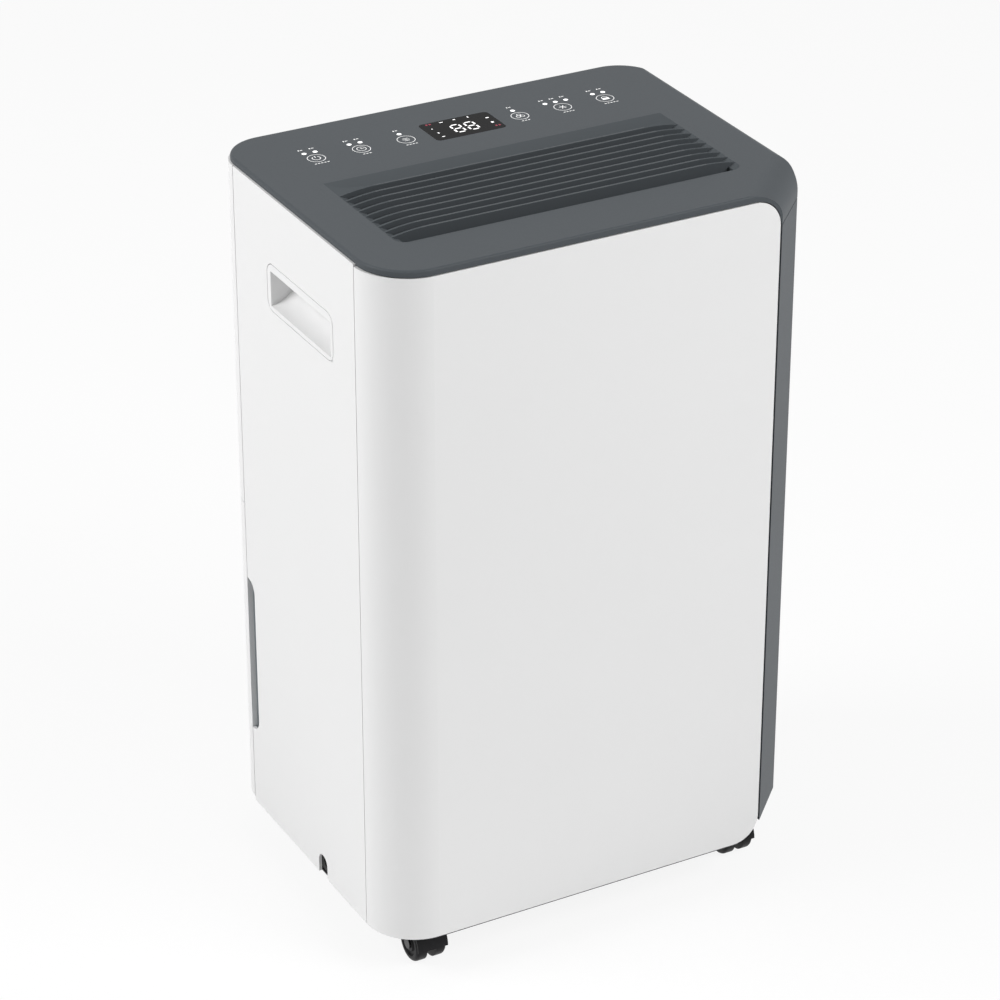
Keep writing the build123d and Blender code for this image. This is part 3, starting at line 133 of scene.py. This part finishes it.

# Painted shade: the sloping faces of the louvre plate get a dull, reflection-free version of the same grey,
# so they read darker than its flat faces and the walls of its slots, as if turned away from the light.
# Both limits are the upward part of a face's normal.
STEEPEST = 0.5
LEVEL = 0.9998
plate = nodes["outlet_grille"].data
plate.materials.append(SLOPE_SHADE_GREY)
for face in plate.polygons:
    face.material_index = int(STEEPEST < face.normal.z < LEVEL)


# Marks on the top: flat prints that ride on the casing, placed from the middle of the display
class Print:
    """Collects flat shapes in plan, in metres, into one mesh."""

    def __init__(self):
        self.points = []
        self.faces = []

    def polygon(self, outline):
        first = len(self.points)
        self.points += outline
        self.faces.append(range(first, first + len(outline)))

    def box(self, x, y, width, depth, turn=0.0):
        c, s = math.cos(turn), math.sin(turn)
        sides = [(-1, -1), (1, -1), (1, 1), (-1, 1)]
        self.polygon([(x + c * i * width / 2 - s * j * depth / 2, y + s * i * width / 2 + c * j * depth / 2)
                      for i, j in sides])

    def arc(self, x, y, radius, line, start=0.0, end=360.0, steps=40):
        for i in range(steps):
            a, b = (math.radians(start + (end - start) * k / steps) for k in (i, i + 1))
            inner, outer = radius - line / 2, radius + line / 2
            self.polygon([(x + r * math.cos(t), y + r * math.sin(t))
                          for r, t in ((inner, a), (outer, a), (outer, b), (inner, b))])

    def disc(self, x, y, radius, steps=20):
        turns = [math.tau * i / steps for i in range(steps)]
        self.polygon([(x + radius * math.cos(t), y + radius * math.sin(t)) for t in turns])

    def place(self, name, mat, lift=0.00006):
        mesh = bpy.data.meshes.new(name)
        mesh.from_pydata([(DISPLAY_X + x, DISPLAY_Y + y, TOP + lift) for x, y in self.points], [],
                         [list(f) for f in self.faces])
        mesh.materials.append(mat)
        obj = bpy.data.objects.new(name, mesh)
        scene.collection.objects.link(obj)
        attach(obj, "housing")


def digit(sheet, x, y, width, height, line):
    """All seven segments of one figure eight."""
    gap = line * 0.9
    for row in (-1, 0, 1):
        sheet.box(x, y + row * height / 2, width - 2 * gap, line)
    for side in (-1, 1):
        for row in (-1, 1):
            sheet.box(x + side * width / 2, y + row * height / 4, line, height / 2 - 2 * gap)


DIGIT_Y = -0.0021
DIGIT_W = 0.0074
DIGIT_H = 0.0145
DIGIT_LINE = 0.0014
figures = Print()
for x in (-0.0049, 0.0069):
    digit(figures, x, DIGIT_Y, DIGIT_W, DIGIT_H, DIGIT_LINE)
for x, y, width, depth in ((-0.0109, 0.0142, 0.0030, 0.0010), (0.0003, 0.0145, 0.0020, 0.0012),
                           (0.0121, 0.0142, 0.0010, 0.0022), (0.0246, 0.0059, 0.0026, 0.0014),
                           (0.0241, -0.0037, 0.0020, 0.0022), (-0.0231, 0.0057, 0.0010, 0.0012),
                           (-0.0222, -0.0033, 0.0010, 0.0022), (-0.0220, -0.0112, 0.0026, 0.0010)):
    figures.box(x, y, width, depth)
figures.place("display_figures", GLOW)

EMBER_W = 0.0016
EMBER_D = 0.0022
EMBER_HALF_STEP = 0.0014
embers = Print()
for x, y in ((-0.0219, 0.0146), (0.0250, -0.0110)):
    for side in (-1, 1):
        embers.box(x + side * EMBER_HALF_STEP, y, EMBER_W, EMBER_D)
embers.place("display_embers", EMBER)

# Touch keys: a ring with a plain sign, round lamps behind it and a row of dashes in front
KEY_MID = -0.0006
KEY_Y = -0.0029
KEY_FIRST = 0.0491
KEY_STEP = 0.0377
RING_R = 0.0069
LAMP_R = 0.0019
LAMP_STEP = 0.0092
LAMP_BACK = 0.0117
MARK_BACK = 0.0188
DASH_FRONT = 0.0100
DASH_STEP = 0.0026
DASH_W = 0.0017
DASH_D = 0.0009
THIN = 0.0005
BROAD = 0.0006
KEYS = ((-3, 2, 5), (-2, 2, 3), (-1, 1, 4), (1, 1, 3), (2, 3, 4), (3, 2, 5))
prints = Print()
dots = Print()
for place, lamps, dashes in KEYS:
    x = KEY_MID + math.copysign(KEY_FIRST + KEY_STEP * (abs(place) - 1), place)
    prints.arc(x, KEY_Y, RING_R, THIN)
    if place == -3:
        prints.arc(x, KEY_Y, 0.0032, BROAD, 125, 415, 20)
        prints.box(x, KEY_Y + 0.0028, BROAD, 0.0032)
    elif place == -2:
        prints.arc(x, KEY_Y, 0.0036, THIN)
        prints.box(x, KEY_Y + 0.0010, THIN, 0.0024)
        prints.box(x + 0.0008, KEY_Y, 0.0020, THIN)
    elif place == -1:
        for k in (-1, 0, 1):
            prints.box(x, KEY_Y + k * 0.0021, 0.0058 - 0.0013 * abs(k), BROAD)
    elif place == 1:
        for k in range(3):
            turn = math.radians(90 + 120 * k)
            prints.arc(x + 0.0020 * math.cos(turn), KEY_Y + 0.0020 * math.sin(turn), 0.0017, THIN)
        prints.disc(x, KEY_Y, 0.0006)
    elif place == 2:
        for k in range(3):
            prints.box(x, KEY_Y, 0.0068, THIN, math.radians(60 * k))
    else:
        prints.arc(x, KEY_Y + 0.0008, 0.0024, BROAD, 0, 180, 14)
        prints.box(x, KEY_Y - 0.0012, 0.0060, 0.0034)
    for k in range(dashes):
        prints.box(x + (k - (dashes - 1) / 2) * DASH_STEP, KEY_Y - DASH_FRONT, DASH_W, DASH_D)
    for k in range(lamps):
        lamp_x = x + (k - (lamps - 1) / 2) * LAMP_STEP
        dots.disc(lamp_x, KEY_Y + LAMP_BACK, LAMP_R)
        prints.box(lamp_x - 0.0013, KEY_Y + MARK_BACK, 0.0010, 0.0018)
        prints.box(lamp_x + 0.0010, KEY_Y + MARK_BACK, 0.0020, 0.0009)
# The printed marks carry a painted glow
prints.place("key_prints", PRINT_GLOW)
dots.place("key_lamps", GLOW)


# Floor, light and camera
def seen_rays(tree):
    """One for rays that show a thing to the eye: straight, mirrored or through glass."""
    path = tree.nodes.new("ShaderNodeLightPath")
    rays = path.outputs["Is Camera Ray"]
    for kind in ("Is Glossy Ray", "Is Transmission Ray"):
        either = tree.nodes.new("ShaderNodeMath")
        either.operation = "MAXIMUM"
        tree.links.new(rays, either.inputs[0])
        tree.links.new(path.outputs[kind], either.inputs[1])
        rays = either.outputs["Value"]
    return rays


def ground(whiten):
    """Pale floor, shown part of the way to plain white, that keeps the soft shadow of the casing."""
    mesh = bpy.data.meshes.new("floor")
    half = 8
    corners = [(-half, -half, 0), (half, -half, 0), (half, half, 0), (-half, half, 0)]
    mesh.from_pydata(corners, [], [(0, 1, 2, 3)])
    mat = material("floor_paper", (0.92, 0.92, 0.92), 0.9, grain=40)
    tree = mat.node_tree
    plain = tree.nodes.new("ShaderNodeEmission")
    share = tree.nodes.new("ShaderNodeMath")
    share.operation = "MULTIPLY"
    share.inputs[1].default_value = whiten
    mix = tree.nodes.new("ShaderNodeMixShader")
    tree.links.new(seen_rays(tree), share.inputs[0])
    tree.links.new(share.outputs["Value"], mix.inputs["Fac"])
    tree.links.new(tree.nodes["Principled BSDF"].outputs["BSDF"], mix.inputs[1])
    tree.links.new(plain.outputs["Emission"], mix.inputs[2])
    tree.links.new(mix.outputs["Shader"], tree.nodes["Material Output"].inputs["Surface"])
    mesh.materials.append(mat)
    obj = bpy.data.objects.new("floor", mesh)
    scene.collection.objects.link(obj)


def lamp(name, at, aim, size, power):
    """Soft square lamp that points at a place."""
    data = bpy.data.lights.new(name, "AREA")
    data.shape = "SQUARE"
    data.size = size
    data.energy = power
    obj = bpy.data.objects.new(name, data)
    obj.location = at
    obj.rotation_euler = (Vector(aim) - Vector(at)).to_track_quat("-Z", "Y").to_euler()
    scene.collection.objects.link(obj)


def surroundings(level):
    """Even white surroundings; the camera sees plain white behind the object."""
    world = bpy.data.worlds.new("studio")
    world.use_nodes = True
    tree = world.node_tree
    light = tree.nodes["Background"]
    light.inputs["Color"].default_value = (1, 1, 1, 1)
    light.inputs["Strength"].default_value = level
    seen = tree.nodes.new("ShaderNodeBackground")
    seen.inputs["Color"].default_value = (1, 1, 1, 1)
    mix = tree.nodes.new("ShaderNodeMixShader")
    tree.links.new(seen_rays(tree), mix.inputs["Fac"])
    tree.links.new(light.outputs["Background"], mix.inputs[1])
    tree.links.new(seen.outputs["Background"], mix.inputs[2])
    tree.links.new(mix.outputs["Shader"], tree.nodes["World Output"].inputs["Surface"])
    scene.world = world


STUDIO_AIM = (0, 0, 0.3)
STUDIO_SIZE = 1.8
FLOOR_WHITE = 0.88
FILL_LEVEL = 0.24
ground(FLOOR_WHITE)
surroundings(FILL_LEVEL)
lamp("right_key", (1.63, -2.32, 2.52), STUDIO_AIM, STUDIO_SIZE, 82)
lamp("left_key", (-2.71, 0.83, 2.52), STUDIO_AIM, STUDIO_SIZE, 87)

CAMERA_AT = (-1.23519, -2.24438, TOP + 1.08828)
CAMERA_LENS = 133.86
CAMERA_SENSOR = 36.0
azimuth, elevation = math.radians(-28.558), math.radians(28.202)
away = Vector((math.sin(azimuth) * math.cos(elevation), -math.cos(azimuth) * math.cos(elevation),
               math.sin(elevation)))
right = Vector((0, 0, 1)).cross(away).normalized()
data = bpy.data.cameras.new("photo_view")
data.sensor_width = CAMERA_SENSOR
data.lens = CAMERA_LENS
camera = bpy.data.objects.new("photo_view", data)
camera.matrix_world = Matrix.Translation(CAMERA_AT) @ Matrix(
    (right, away.cross(right), away)).transposed().to_4x4()
scene.collection.objects.link(camera)
scene.camera = camera
